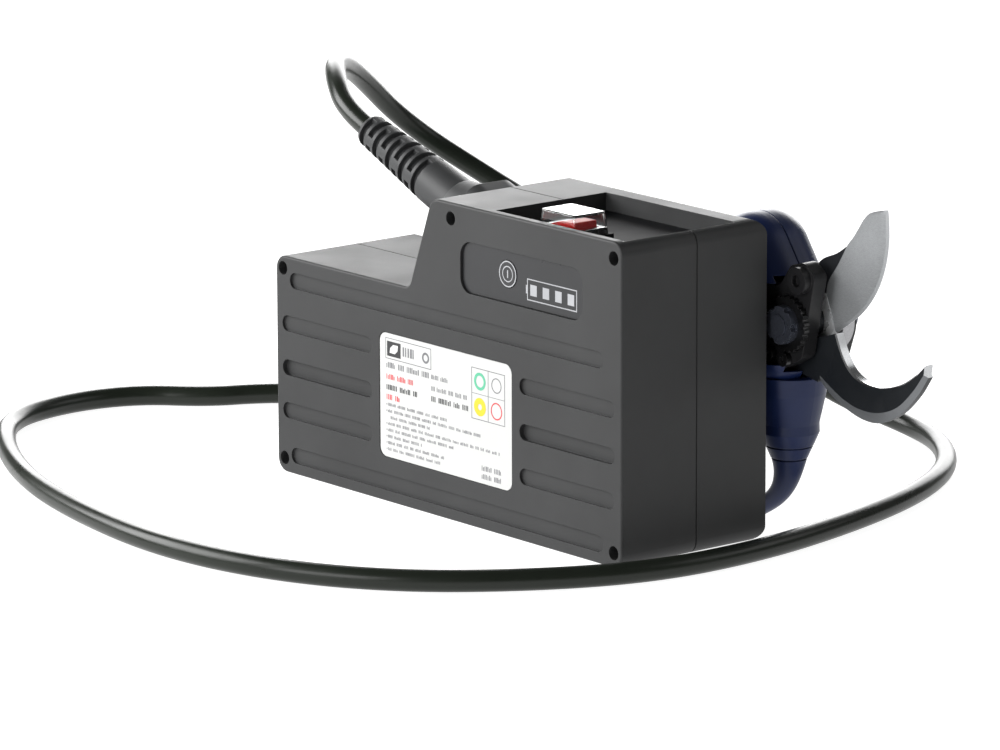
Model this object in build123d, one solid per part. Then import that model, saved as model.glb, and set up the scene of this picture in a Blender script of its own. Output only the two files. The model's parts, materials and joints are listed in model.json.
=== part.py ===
from build123d import *
import os
from math import acos, cos, hypot, pi, radians, sin, tan

# Cordless electric pruning shears: a battery pack, the cable, and the pruner lying behind the pack.
# Millimetres. Origin at the centre of the pack's underside, +X along the pack, +Y away from the
# label face, +Z up.

# ---------------------------------------------------------------- battery pack, driving dimensions
PACK_LENGTH = 212.0
PACK_DEPTH = 72.0
PACK_HEIGHT = 125.5
LOW_HEIGHT = 88.0
STEP_FOOT_X = -21.5
STEP_TOP_X = -7.5
BACK_ROUNDING = 6.5               # of the long edges at the back
WALL = 2.6
PART_Y = 1.0                      # parting plane between the front and rear shells
END_X = PACK_LENGTH / 2
FRONT_Y = -PACK_DEPTH / 2
BACK_Y = PACK_DEPTH / 2
IN_FRONT = FRONT_Y + WALL
IN_BACK = BACK_Y - WALL

POCKET = (27.6, 102.4, -32.4, 22.6)       # opening in the raised top: x0, x1, y0, y1
PANEL_TOP = 118.5
PANEL_THICK = 2.5
DISPLAY = (10.4, 83.2, 91.5, 111.8)       # recess on the front: x0, x1, z0, z1
LABEL = (-40.2, 41.2, 17.9, 68.0)
BUTTON = (38.0, 102.8)
CASE_SCREWS = [(-101.3, 83.0), (-101.3, 5.8), (4.6, 119.3), (101.2, 119.0), (101.3, 5.8)]
GROOVE_HEIGHT = 6.5
GROOVE_ROWS = [7.8, 25.6, 43.0, 60.9, 78.8]
SWITCH = (60.5, -21.5)

CELL_R = 9.15
CELL_LENGTH = 65.0
CELL_PITCH = 19.6
CELL_COLUMNS = 10
CELL_ROWS_Z = [15.2, 34.8]

# ---------------------------------------------------------------- pruner, driving dimensions
TILT = 16.5                       # the grip's axis rises by this angle towards the blades
TOOL_Y = 56.5                     # centre plane of the pruner
PIVOT = (110.0, 84.5)             # blade pivot, x and z
TOOL = Location((PIVOT[0], TOOL_Y, PIVOT[1]), (0, -TILT, 0))
HALF_WIDTH = 17.5
SKIN = 2.3
ROUNDING = 14.0
HOOK_Y = (52.0, 56.2)
BLADE_Y = (56.4, 59.7)
CHEEK_Y = (44.6, 51.0)
SIDE_PLATE_Y = (66.2, 69.6)
BUTT = -225.0                     # end of the grip along its own axis
RELIEF_TIP = -268.0

BEVEL_MODULE = 0.8
PINION_TEETH = 11
SECTOR_TEETH = 50
SECTOR_R = BEVEL_MODULE * SECTOR_TEETH / 2
PINION_R = BEVEL_MODULE * PINION_TEETH / 2
FACE_SHARE = 0.775                # small end of the bevel teeth as a share of the large end

GEAR_MODULE = 0.6
SUN_TEETH = 12
PLANET_TEETH = 15
RING_TEETH = 42
PLANET_ORBIT = GEAR_MODULE * (SUN_TEETH + PLANET_TEETH) / 2
PLANET_ANGLES = [90, 210, 330]
ADDENDUM = 0.8
DEDENDUM = 1.05
TIP_HALF = 0.09                   # half widths of a tooth as shares of the pitch
ROOT_HALF = 0.27

TRIGGER_PIVOT = (60.0, 50.0)
PIN_R = 1.5
RUNNING = 0.05                    # radial clearance of a running fit

CABLE_R = 4.2
FLOOR = 4.3                       # height of the cable's middle where it lies down
CABLE_START = 82.0                # length of the pack's strain relief from the wall to its tip
STEP_SLOPE = hypot(STEP_TOP_X - STEP_FOOT_X, PACK_HEIGHT - LOW_HEIGHT)
GLAND_AT = ((STEP_FOOT_X + STEP_TOP_X) / 2, PART_Y, (LOW_HEIGHT + PACK_HEIGHT) / 2)
GLAND_DIR = ((LOW_HEIGHT - PACK_HEIGHT) / STEP_SLOPE, 0.0, (STEP_TOP_X - STEP_FOOT_X) / STEP_SLOPE)

# ---------------------------------------------------------------- outlines, counter-clockwise: x, z, radius
PACK_OUTLINE = [
    (-END_X, 0, 5.5), (END_X, 0, 5.5), (END_X, PACK_HEIGHT, 5.5),
    (STEP_TOP_X, PACK_HEIGHT, 6), (STEP_FOOT_X, LOW_HEIGHT, 4), (-END_X, LOW_HEIGHT, 5.5),
]
HOUSING_OUTLINE = [
    (-100.9, 4.3, 16), (34.8, 44.5, 40), (64, 44.5, 18), (83, 56, 20), (113, 56, 16), (109.5, 93, 20),
    (86, 126.5, 17), (60, 114.5, 18), (47, 83.6, 30), (-110.5, 36.9, 16),
]
CHEEK_OUTLINE = [
    (72, 65, 2), (104, 65, 5), (116.8, 72, 4), (123.6, 104.5, 3), (117.5, 109.2, 4), (110, 107, 4),
    (103.5, 97.5, 8), (72, 97.5, 2),
]
SIDE_PLATE_OUTLINE = [
    (72, 65, 2), (114.5, 66, 5), (121, 84, 12), (112, 97.5, 8), (72, 97.5, 2),
]
TRIGGER_OUTLINE = [
    (61.5, 21.0, 1.5), (66.5, 21.5, 2), (68.5, 28, 8), (65.6, 38, 12), (63.6, 50, 2), (56.6, 50, 2),
    (59.5, 36, 12), (62.8, 27, 6),
]


# ---------------------------------------------------------------- helpers
def unit(x, y):
    """Unit vector in the outline's plane."""
    size = hypot(x, y)
    return x / size, y / size


def corner(before, here, after, radius):
    """Start, middle and end of the arc that rounds one corner."""
    ux, uy = unit(before[0] - here[0], before[1] - here[1])
    wx, wy = unit(after[0] - here[0], after[1] - here[1])
    half = acos(max(-1.0, min(1.0, ux * wx + uy * wy))) / 2
    cut = radius / tan(half)
    bx, by = unit(ux + wx, uy + wy)
    reach = radius / sin(half)
    start = (here[0] + ux * cut, here[1] + uy * cut)
    end = (here[0] + wx * cut, here[1] + wy * cut)
    middle = (here[0] + bx * (reach - radius), here[1] + by * (reach - radius))
    return start, middle, end


def rounded(points):
    """Face inside straight edges joined by tangent arcs; each point is x, y, radius."""
    count = len(points)
    arcs = [corner(points[i - 1], points[i], points[(i + 1) % count], points[i][2]) for i in range(count)]
    edges = []
    for i, (start, middle, end) in enumerate(arcs):
        edges.append(ThreePointArc(start, middle, end))
        following = arcs[(i + 1) % count][0]
        if hypot(following[0] - end[0], following[1] - end[1]) > 0.001:
            edges.append(Line(end, following))
    return Face(Wire(edges))


def inset(points, depth):
    """The same outline moved inwards by depth."""
    moved = []
    count = len(points)
    for i in range(count):
        ax, ay, _ = points[i - 1]
        bx, by, radius = points[i]
        cx, cy, _ = points[(i + 1) % count]
        ux, uy = unit(bx - ax, by - ay)
        wx, wy = unit(cx - bx, cy - by)
        share = depth / (1 + ux * wx + uy * wy)
        turn = ux * wy - uy * wx
        new_radius = max(0.6, radius - depth) if turn > 0 else radius + depth
        moved.append((bx - (uy + wy) * share, by + (ux + wx) * share, new_radius))
    return moved


def slab(face, y0, y1):
    """A side-view face made into a solid between two depths."""
    return extrude(Plane.XZ.offset(-y1) * face, amount=y1 - y0, dir=(0, -1, 0))


def block(x0, x1, y0, y1, z0, z1):
    return Pos((x0 + x1) / 2, (y0 + y1) / 2, (z0 + z1) / 2) * Box(x1 - x0, y1 - y0, z1 - z0)


def rod(x, z, radius, y0, y1):
    """Round bar along Y."""
    return Pos(x, (y0 + y1) / 2, z) * Rot(90, 0, 0) * Cylinder(radius, y1 - y0)


def post(x, y, radius, z0, z1):
    """Round bar along Z."""
    return Pos(x, y, (z0 + z1) / 2) * Cylinder(radius, z1 - z0)


def shaft(radius, x0, x1, y=0.0, z=0.0):
    """Round bar along the grip's axis, in the tool's frame, placed in the model."""
    return TOOL * Pos((x0 + x1) / 2, y, z) * Rot(0, 90, 0) * Cylinder(radius, x1 - x0)


def obround(x0, x1, z, height, y0, y1):
    """Groove with round ends on the front face."""
    middle = (x0 + x1) / 2
    return slab(Pos(middle, z) * SlotOverall(x1 - x0, height), y0, y1)


def plate(x0, x1, z0, z1, radius, y0, y1):
    """Flat plate with rounded corners that faces the front."""
    face = Pos((x0 + x1) / 2, (z0 + z1) / 2) * RectangleRounded(x1 - x0, z1 - z0, radius)
    return slab(face, y0, y1)


def side_rims(solid):
    """Edges round the two flat sides of a slab."""
    faces = solid.faces().filter_by(Axis.Y).sort_by(Axis.Y)
    return faces[0].edges() + faces[-1].edges()


def revolved(points, axis=Axis.Z):
    """Solid of revolution from radius and height points."""
    return revolve(Plane.XZ * make_face(Polyline(*points, close=True)), axis=axis)


# ---------------------------------------------------------------- pack shells
def pocket_walls():
    x0, x1, y0, y1 = POCKET
    low = PANEL_TOP - PANEL_THICK - 2
    high = PACK_HEIGHT - WALL
    inner_end = END_X - WALL
    walls = block(x0 - 2.4, x0, IN_FRONT, y1 + 2.4, low, high)
    walls += block(x0 - 2.4, inner_end, y1, y1 + 2.4, low, high)
    walls += block(x0, inner_end, IN_FRONT, y0, low, high)
    walls += block(96.9, inner_end, IN_FRONT, y1, low, PANEL_TOP)
    return walls


def screw_bosses():
    bosses = None
    for x, z in CASE_SCREWS:
        tube = rod(x, z, 4.2, IN_FRONT, IN_BACK - 6)
        bosses = tube if bosses is None else bosses + tube
    return bosses


def front_cuts():
    """Everything that is cut into the label face."""
    cuts = plate(*DISPLAY, 6, FRONT_Y - 1, FRONT_Y + 1.6)
    cuts += plate(*LABEL, 4, FRONT_Y - 1, FRONT_Y + 0.5)
    for row, z in enumerate(GROOVE_ROWS):
        if row in (0, 4):
            spans = [(-96.9, 95.4)]
        else:
            spans = [(-102.0, -44.7), (45.8, 102.0)]
        depth = 2.0 if row == 2 else 1.1
        for x0, x1 in spans:
            cuts += obround(x0, x1, z, GROOVE_HEIGHT, FRONT_Y - 1, FRONT_Y + depth)
    cuts += rod(*BUTTON, 5.6, FRONT_Y, IN_FRONT + 1)
    return cuts


def rounded_back(height, x0):
    """Bar along x whose two long edges at the back are rounded."""
    bar = block(x0, END_X + 1, FRONT_Y - 1, BACK_Y, 0, height)
    return fillet(bar.edges().filter_by(Axis.X).sort_by(Axis.Y)[-2:], BACK_ROUNDING)


def pack_case():
    outer = slab(rounded(PACK_OUTLINE), FRONT_Y, BACK_Y)
    outer &= rounded_back(PACK_HEIGHT, STEP_FOOT_X - 4) + rounded_back(LOW_HEIGHT, -END_X - 1)
    outer = fillet(outer.faces().sort_by(Axis.Y)[0].edges(), 1.0)
    cavity = slab(rounded(inset(PACK_OUTLINE, WALL)), IN_FRONT, IN_BACK)
    inner = (pocket_walls() + screw_bosses()) & cavity
    case = outer - cavity + inner
    x0, x1, y0, y1 = POCKET
    case -= block(x0, x1, y0, y1, PANEL_TOP + 4.9, PACK_HEIGHT + 1)
    case -= block(x0, 96.9, y0, y1, PANEL_TOP - 5, PACK_HEIGHT + 1)
    case += rod(101.2, 119.0, 4.2, y0, IN_BACK - 12) & cavity
    for x, z in CASE_SCREWS:
        case -= rod(x, z, 2.75, FRONT_Y - 1, FRONT_Y + 16)
        case -= rod(x, z, 1.65, FRONT_Y + 15, PART_Y)
        case -= rod(x, z, 1.5, PART_Y, 16)
    case -= front_cuts()
    gland = Plane(GLAND_AT, x_dir=(0, 1, 0), z_dir=GLAND_DIR)
    case -= gland * Pos(0, 0, -1) * Cylinder(8.2, 8)
    rim = slab(rounded(PACK_OUTLINE), PART_Y - 0.3, PART_Y + 0.3)
    rim -= slab(rounded(inset(PACK_OUTLINE, 0.4)), PART_Y - 0.4, PART_Y + 0.4)
    return case - rim


def pack_shells():
    case = pack_case()
    front_half = block(-END_X - 1, END_X + 1, FRONT_Y - 1, PART_Y, -1, PACK_HEIGHT + 1)
    rear_half = block(-END_X - 1, END_X + 1, PART_Y, BACK_Y + 1, -1, PACK_HEIGHT + 1)
    return {"front_shell": case & front_half, "rear_shell": case & rear_half}


def case_screws():
    group = []
    for x, z in CASE_SCREWS:
        screw = rod(x, z, 1.5, FRONT_Y + 18, 14)
        screw += rod(x, z, 2.6, FRONT_Y + 16 - 2.4, FRONT_Y + 16)
        screw += rod(x, z, 1.5, FRONT_Y + 16, FRONT_Y + 18)
        screw -= rod(x, z, 1.2, FRONT_Y + 12, FRONT_Y + 15)
        group.append(screw)
    return Compound(children=group)


def front_trim():
    label = plate(LABEL[0] + 0.3, LABEL[1] - 0.3, LABEL[2] + 0.3, LABEL[3] - 0.3, 3.7,
                  FRONT_Y + 0.2, FRONT_Y + 0.5)
    window = plate(DISPLAY[0] + 0.3, DISPLAY[1] - 0.3, DISPLAY[2] + 0.3, DISPLAY[3] - 0.3, 5.7,
                   FRONT_Y + 1.0, FRONT_Y + 1.6)
    window -= rod(*BUTTON, 5.5, FRONT_Y, IN_FRONT)
    button = rod(*BUTTON, 5.3, FRONT_Y + 0.8, IN_FRONT + 0.4)
    board = block(14, 80, IN_FRONT + 2.4, IN_FRONT + 4.0, 93.5, 110)
    board += block(34.5, 41.5, IN_FRONT + 1.2, IN_FRONT + 2.4, 99.3, 106.3)
    for i in range(4):
        x = 53.2 + 7.35 * i
        board += block(x - 1.5, x + 1.5, IN_FRONT + 1.2, IN_FRONT + 2.4, 97.2, 100.2)
    return {"label_plate": label, "display_window": window, "power_button": button, "display_board": board}


# ---------------------------------------------------------------- pack contents
def cell_places():
    first = -CELL_PITCH * (CELL_COLUMNS - 1) / 2
    return [(first + CELL_PITCH * i, z) for z in CELL_ROWS_Z for i in range(CELL_COLUMNS)]


def battery():
    half = CELL_LENGTH / 2
    cells = [rod(x, z, CELL_R, -half, half) for x, z in cell_places()]
    holders = {}
    for name, y0 in (("cell_holder_front", -31.0), ("cell_holder_rear", 25.0)):
        frame = block(-98.0, 98.0, y0, y0 + 6, 4.9, 45.1)
        for x, z in cell_places():
            frame -= rod(x, z, CELL_R + 0.05, y0 - 1, y0 + 7)
        for x, z in CASE_SCREWS:
            frame -= rod(x, z, 4.5, y0 - 1, y0 + 7)
        holders[name] = frame
    strips = []
    middle_z = sum(CELL_ROWS_Z) / 2
    for i in range(CELL_COLUMNS // 2):
        x = -CELL_PITCH * (CELL_COLUMNS - 2) / 2 + 2 * CELL_PITCH * i
        strips.append(block(x - 17, x + 17, -half - 0.2, -half, middle_z - 15, middle_z + 15))
    for i in range(CELL_COLUMNS // 2 - 1):
        x = -CELL_PITCH * (CELL_COLUMNS - 4) / 2 + 2 * CELL_PITCH * i
        strips.append(block(x - 17, x + 17, half, half + 0.2, middle_z - 15, middle_z + 15))
    board = block(-75, 75, -26, 26, 49.0, 50.6)
    for i in range(5):
        board += block(-60 + 26 * i, -48 + 26 * i, 10, 20, 50.6, 55.2)
    board += block(-70, -40, -20, -6, 50.6, 53.0)
    board += block(30, 66, -22, -4, 50.6, 58.0)
    return {"battery_cells": Compound(children=cells), **holders,
            "nickel_strips": Compound(children=strips), "bms_board": board}


def rectangle_at(x, y, width, depth, z, radius):
    return Pos(x, y, z) * RectangleRounded(width, depth, radius)


def switch_parts():
    x, y = SWITCH
    seat = PANEL_TOP + 2.5
    panel = block(POCKET[0] + 0.1, 96.8, POCKET[2] + 0.1, POCKET[3] - 0.1, PANEL_TOP - PANEL_THICK, PANEL_TOP)
    panel += block(x - 12.5, x + 12.5, y - 9.5, y + 9.5, PANEL_TOP, seat)
    panel -= block(x - 9.7, x + 9.7, y - 6.7, y + 6.7, PANEL_TOP - 5, seat + 1)
    panel -= post(84, -22, 5.6, PANEL_TOP - 5, PANEL_TOP + 1)
    body = block(x - 10.5, x + 10.5, y - 7.5, y + 7.5, seat, seat + 2.4)
    body += block(x - 9.6, x + 9.6, y - 6.6, y + 6.6, seat - 15, seat)
    body -= block(x - 8.4, x + 8.4, y - 5.6, y + 5.6, seat - 4.5, seat + 3)
    for side in (-1, 0, 1):
        body += block(x + 5 * side - 2.4, x + 5 * side + 2.4, y - 0.4, y + 0.4, seat - 22, seat - 15)
    pivot_z = seat + 0.6
    body -= rod(x, pivot_z, 1.0 + RUNNING, y - 6.3, y + 6.3)
    profile = [(-7.4, -2.6, 0.6), (7.4, -2.6, 0.6), (7.4, 3.0, 0.6), (0, 4.2, 12), (-7.4, 3.0, 0.6)]
    rocker = slab(rounded(profile), y - 5.3, y + 5.3)
    rocker += rod(0, 0, 1.0, y - 6.2, y + 6.2)
    rocker = Pos(x, 0, pivot_z) * Rot(0, -10, 0) * rocker
    cover = loft([rectangle_at(x, y, 23.4, 17.6, seat, 2.5), rectangle_at(x, y, 20.6, 15.8, seat + 8.5, 2.0)])
    cover = fillet(cover.faces().sort_by(Axis.Z)[-1].edges(), 0.8)
    hollow = loft([rectangle_at(x, y, 21.8, 16.0, seat - 0.02, 1.8),
                   rectangle_at(x, y, 19.2, 14.4, seat + 7.6, 1.4)])
    cover -= hollow
    cover -= block(x - 10.55, x + 10.55, y - 7.55, y + 7.55, seat - 1, seat + 2.45)
    socket = post(84, -22, 7.0, PANEL_TOP, PANEL_TOP + 1.4) + post(84, -22, 5.5, PANEL_TOP - 12, PANEL_TOP)
    socket -= post(84, -22, 2.75, PANEL_TOP - 9, PANEL_TOP + 2)
    socket += post(84, -22, 1.0, PANEL_TOP - 10, PANEL_TOP - 1)
    return {"switch_panel": panel, "switch_body": body, "switch_rocker": rocker, "switch_cover": cover,
            "charge_socket": socket}


# ---------------------------------------------------------------- strain relief on the pack
def relief_radius(s):
    """Outer radius of the ribbed sleeve at a distance from the wall."""
    return 9.5 - 0.4 * (s - 22) / 18 if s < 40 else 9.1 - 2.4 * (s - 40) / 41


def gland_parts():
    place = Plane(GLAND_AT, x_dir=(0, 1, 0), z_dir=GLAND_DIR)
    flange = Pos(-2, -1.2, 0) * extrude(RectangleRounded(27, 35, 8), amount=6.0)
    flange += Pos(0, 0, -4) * Cylinder(8.1, 8)
    flange += revolved([(0, 3), (13.4, 3), (13.4, 12), (10.2, 22), (0, 22)])
    nut = Pos(0, 0, -4.4) * (Cylinder(10.8, 3.4) - Cylinder(8.15, 4))
    sleeve = revolved([(0, 22), (9.5, 22), (9.1, 40), (6.7, 81), (6.3, CABLE_START), (0, CABLE_START)])
    for i in range(9):
        s = 41.6 + 4.67 * i
        outer = relief_radius(s) + 1
        ring = Pos(0, 0, s) * (Cylinder(outer, 3.0) - Cylinder(outer - 3.0, 4))
        for side in (0, 180):
            angle = (90 if i % 2 else 0) + side
            gap = ring & (Rot(0, 0, angle) * Pos(outer, 0, s) * Box(1.5 * outer, 2 * outer, 5))
            sleeve -= gap
    return {"cable_gland": place * flange, "gland_nut": place * nut, "strain_relief": place * sleeve}


# ---------------------------------------------------------------- the cable
def tool_point(along):
    """Point on the grip's axis."""
    return (PIVOT[0] + along * cos(radians(TILT)), TOOL_Y, PIVOT[1] + along * sin(radians(TILT)))


def gland_point(along):
    """Point on the axis of the pack's cable outlet."""
    return tuple(GLAND_AT[i] + along * GLAND_DIR[i] for i in range(3))


def cable_route():
    outlet = [gland_point(CABLE_START), gland_point(CABLE_START + 17)]
    air = [(-127, 11, 150.5), (-151, 30, 152), (-174, 58, 141.5), (-185, 93, 113.5), (-157, 121, 88.5),
           (-112, 148, 60.5), (-66, 172, 35.5), (-24, 189, 12), (10, 198, FLOOR)]
    floor = [(44, 186), (77, 159), (101, 120), (118, 70), (129, 15), (128, -36), (110, -79), (78, -121),
             (33, -147), (-22, -156.5), (-83, -149), (-141, -133.5), (-195, -107), (-232, -78), (-242, -41),
             (-235, -10), (-213, 9), (-204, 31), (-186, 51)]
    landing = (FLOOR - PIVOT[1]) / sin(radians(TILT))
    floor = [(x, y, FLOOR) for x, y in floor]
    return outlet + air + floor + [tool_point(landing), tool_point(RELIEF_TIP)]


def bend_radii(points):
    """Each arc takes 0.45 of its shorter run."""
    radii = []
    for before, here, after in zip(points, points[1:], points[2:]):
        first = Vector(here) - Vector(before)
        second = Vector(after) - Vector(here)
        turn = radians(first.get_angle(second))
        radii.append(0.45 * min(first.length, second.length) / tan(turn / 2))
    return radii


def cable():
    points = cable_route()
    radii = bend_radii(points)
    print("cable bend radii", [round(r, 1) for r in radii])
    path = FilletPolyline(*points, radius=radii)
    start = Plane(path @ 0, z_dir=path % 0)
    tube = sweep(start * Circle(CABLE_R), path=path)
    print("cable length", round(path.length, 1), "volume ratio",
          round(tube.volume / (pi * CABLE_R ** 2 * path.length), 4))
    return tube


def tool_relief():
    sleeve = shaft(9.5, -229, -215) + shaft(10.6, -215, -213)
    taper = revolved([(0, 0), (9.5, 0), (7.2, 8), (5.4, 39), (0, 39)])
    sleeve += TOOL * Pos(-229, 0, 0) * Rot(0, -90, 0) * taper
    for i in range(6):
        s = -236.0 - 4.6 * i
        outer = 8.2 - 0.35 * i
        sleeve -= shaft(outer, s - 1.0, s + 1.0) - shaft(5.0, s - 1.1, s + 1.1)
    return sleeve


# ---------------------------------------------------------------- pruner housing
def grip_block(x0, x1, half_y, half_z):
    return TOOL * Pos((x0 + x1) / 2, 0, 0) * Box(x1 - x0, 2 * half_y, 2 * half_z)


def housing_outer():
    body = slab(rounded(HOUSING_OUTLINE), TOOL_Y - HALF_WIDTH, TOOL_Y + HALF_WIDTH)
    return fillet(side_rims(body), ROUNDING)


def housing_cavity():
    inner_half = HALF_WIDTH - SKIN
    body = slab(rounded(inset(HOUSING_OUTLINE, SKIN)), TOOL_Y - inner_half, TOOL_Y + inner_half)
    return fillet(side_rims(body), ROUNDING - SKIN)


GUARD_TOP = 61.3
HOUSING_SCREWS = [(75, 112), (-10.5, 60.0), (76, 56.8), (-86, 33.5), (-82, 18.5)]


def housing(outer):
    inner_half = HALF_WIDTH - SKIN
    bosses = None
    for x, z in HOUSING_SCREWS:
        tube = rod(x, z, 3.3, TOOL_Y - inner_half - 1, TOOL_Y + inner_half + 1)
        bosses = tube if bosses is None else bosses + tube
    tx, tz = TRIGGER_PIVOT
    bosses += rod(tx, tz, 3.2, TOOL_Y - inner_half - 1, TOOL_Y - 5.3)
    bosses += rod(tx, tz, 3.2, TOOL_Y + 9.3, TOOL_Y + inner_half + 1)
    gearbox = shaft(14.75, -64, -46) + shaft(14.35, -120, -62) + grip_block(-46.1, -26, 15, 14.4)
    bosses = (bosses & outer) - gearbox
    shell = outer - housing_cavity() + bosses
    shell -= block(92, 130, CHEEK_Y[0] - 0.2, HOOK_Y[0] - 0.5, 64.8, 101.2)
    shell -= block(92, 130, HOOK_Y[0] - 0.5, BLADE_Y[0], 61.4, 101.2)
    shell -= block(92, 130, BLADE_Y[0], SIDE_PLATE_Y[1] + 0.2, 64.8, 98.6)
    shell -= rod(*PIVOT, 21.8, BLADE_Y[0] - 0.4, SIDE_PLATE_Y[0] + 0.3)
    shell -= block(77, 130, TOOL_Y - 30, TOOL_Y + 30, 67.5, 98.5)
    shell -= block(53, 69, TOOL_Y - 5.2, TOOL_Y + 5.2, 40, 52)
    shell -= block(tx - 3.6, tx + 3.6, TOOL_Y - 5.2, TOOL_Y + 9.2, 46.9, 53.6)
    shell -= shaft(9.55, -240, -214)
    shell -= rod(tx, tz, PIN_R, TOOL_Y - 11, TOOL_Y + 12)
    for x, z in HOUSING_SCREWS:
        shell -= rod(x, z, 2.3, TOOL_Y - 30, TOOL_Y - 8)
        shell -= rod(x, z, 1.25, TOOL_Y - 9, TOOL_Y + 8)
    rim = slab(rounded(HOUSING_OUTLINE), TOOL_Y - 0.3, TOOL_Y + 0.3)
    rim -= slab(rounded(inset(HOUSING_OUTLINE, 0.4)), TOOL_Y - 0.4, TOOL_Y + 0.4)
    shell -= rim
    near = block(-150, 150, TOOL_Y - 30, TOOL_Y, -10, 150)
    far = block(-150, 150, TOOL_Y, TOOL_Y + 30, -10, 150)
    return {"housing_near": shell & near, "housing_far": shell & far}


def housing_screws():
    group = []
    for x, z in HOUSING_SCREWS:
        screw = rod(x, z, 1.25, TOOL_Y - 8, TOOL_Y + 7.5) + rod(x, z, 2.25, TOOL_Y - 10, TOOL_Y - 8)
        group.append(screw)
    return Compound(children=group)


def ring_section(x, z, radius, dx, dz):
    """Round section of the guard's tail, square to its direction."""
    return Plane((x, TOOL_Y, z), z_dir=(dx, 0, dz)) * Circle(radius)


def hand_guard(outer):
    column = revolved([(0, 27.5), (6.9, 27.5), (9.4, 33), (11.7, 38.4), (11.6, 42), (14.2, 54), (15, GUARD_TOP),
                       (0, GUARD_TOP)])
    for z, radius in ((27.9, 7.0), (33.0, 9.4)):
        column -= Pos(0, 0, z) * (Cylinder(radius + 2, 0.6) - Cylinder(radius - 0.6, 1))
    guard = Pos(96.5, TOOL_Y, 0) * column
    tail = [ring_section(96.5, 27.5, 6.9, 0, -1), ring_section(95.4, 20.7, 5.3, -0.26, -0.97),
            ring_section(92.7, 15.2, 4.4, -0.52, -0.85), ring_section(88.4, 10.6, 3.8, -0.77, -0.64)]
    path = FilletPolyline((82.5, TOOL_Y, 6.6), (77.2, TOOL_Y, 3.6), (12, TOOL_Y, 3.6), (-26, TOOL_Y, 34),
                          radius=[8, 26])
    bar_end = Plane(path @ 0, z_dir=path % 0) * Circle(3.5)
    guard += loft(tail + [bar_end])
    guard += sweep(bar_end, path=path)
    return guard - outer


# ---------------------------------------------------------------- cutting head
def gear_case():
    case = slab(rounded(CHEEK_OUTLINE), *CHEEK_Y)
    case += TOOL * Pos(-37, 0.0, 0) * Box(18, 2 * (TOOL_Y - CHEEK_Y[0]), 28.4)
    case -= block(50, 150, SIDE_PLATE_Y[0], SIDE_PLATE_Y[1] + 9, 40, 120)
    case += rod(*PIVOT, 6.0, CHEEK_Y[1], HOOK_Y[0])
    case += rod(*LUG, 5.2, CHEEK_Y[0] - 3.2, CHEEK_Y[0])
    case -= rod(*LUG, 2.4, CHEEK_Y[0] - 4, CHEEK_Y[0] - 1)
    case -= shaft(7.5, -47, -38) + shaft(4.2, -39, -27)
    case -= rod(*PIVOT, 4.0, 40, 60)
    for x, z in HOOK_SCREWS:
        case -= rod(x, z, 1.7, 40, 60)
    for x, z in CASE_BOLTS:
        case -= rod(x, z, 1.7, 40, 70)
    return case


HOOK_SCREWS = [(99.5, 71.2), (108.0, 70.4)]
LUG = (116.6, 102.3)
CASE_BOLTS = [(80.5, 86.0), (83.5, 70.0)]


def side_plate():
    cover = slab(rounded(SIDE_PLATE_OUTLINE), *SIDE_PLATE_Y)
    cover -= rod(*PIVOT, 4.0, 60, 80)
    for x, z in CASE_BOLTS:
        cover -= rod(x, z, 1.7, 60, 75)
    return cover


def hook_screws():
    group = []
    for x, z in HOOK_SCREWS:
        screw = rod(x, z, 1.7, CHEEK_Y[0] - 0.2, HOOK_Y[1])
        screw += rod(x, z, 2.9, CHEEK_Y[0] - 2.4, CHEEK_Y[0])
        group.append(screw - rod(x, z, 1.3, CHEEK_Y[0] - 3, CHEEK_Y[0] - 1.2))
    for x, z in CASE_BOLTS:
        screw = rod(x, z, 1.7, CHEEK_Y[0], SIDE_PLATE_Y[1])
        screw += rod(x, z, 2.4, SIDE_PLATE_Y[1], SIDE_PLATE_Y[1] + 1.6)
        group.append(screw)
    return Compound(children=group)


def hook_blade():
    outer_edge = Spline((117.5, 61.8), (123.7, 57.4), (132.3, 53.5), (142.1, 51.0), (151.8, 51.6),
                        (162.5, 57.0), (171.5, 65.4), (177.4, 73.5))
    inner_edge = Spline((177.2, 78.5), (171.8, 73.8), (163.5, 68.6), (152.8, 65.5), (143.1, 65.9),
                        (135.8, 68.8), (130.8, 74.7), (127.3, 82.2))
    rest = [Line((177.4, 73.5), (177.2, 78.5)), Line((127.3, 82.2), (112, 77.5)),
            Line((112, 77.5), (95.5, 76.5)), Line((95.5, 76.5), (95.5, 66.0)), Line((95.5, 66.0), (117.5, 61.8))]
    blade = slab(Face(Wire([outer_edge, rest[0], inner_edge] + rest[1:])), *HOOK_Y)
    blade += rod(*PIVOT, 6.4, *HOOK_Y)
    blade += block(105.5, 113.2, *HOOK_Y, 72.0, 82.0)
    blade -= rod(*PIVOT, 4.0, 50, 60)
    blade -= shaft(6.0, -26, -15)
    for x, z in HOOK_SCREWS:
        blade -= rod(x, z, 1.7, 50, 60)
    return blade


BLADE_SCREWS = [(110.0, 94.0), (102.2, 79.5)]


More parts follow.
